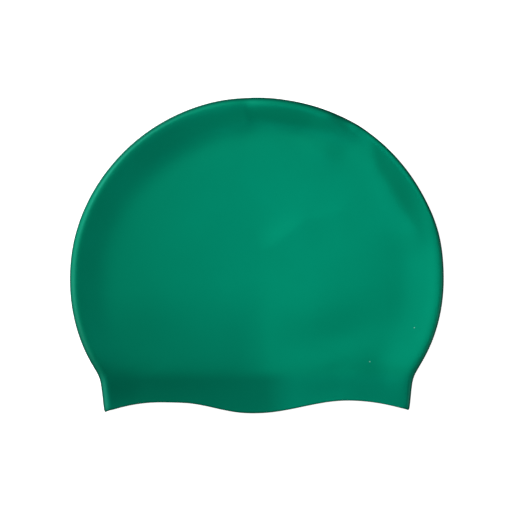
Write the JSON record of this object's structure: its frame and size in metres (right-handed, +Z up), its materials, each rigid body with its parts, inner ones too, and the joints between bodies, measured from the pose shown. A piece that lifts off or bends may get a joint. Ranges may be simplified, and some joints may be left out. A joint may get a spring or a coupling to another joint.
{
  "type": "swim cap",
  "caption": "Plain moulded silicone swim cap lying flat on its side: rounded crown, springy folded rim, narrower head band with a wavy hem, and a mouth open for the head.",
  "frame": {"origin": "on the surface that the cap lies on, under the middle of its outline", "axes": "+Z up, +Y from the mouth to the crown, +X to the right as seen from above with the crown away from the viewer"},
  "size_m": [0.22, 0.186, 0.0144],
  "materials": {
    "silicone": "satin, smooth moulded silicone"
  },
  "bodies": {
    "root": {"swim_cap": "silicone"}
  },
  "joints": []
}
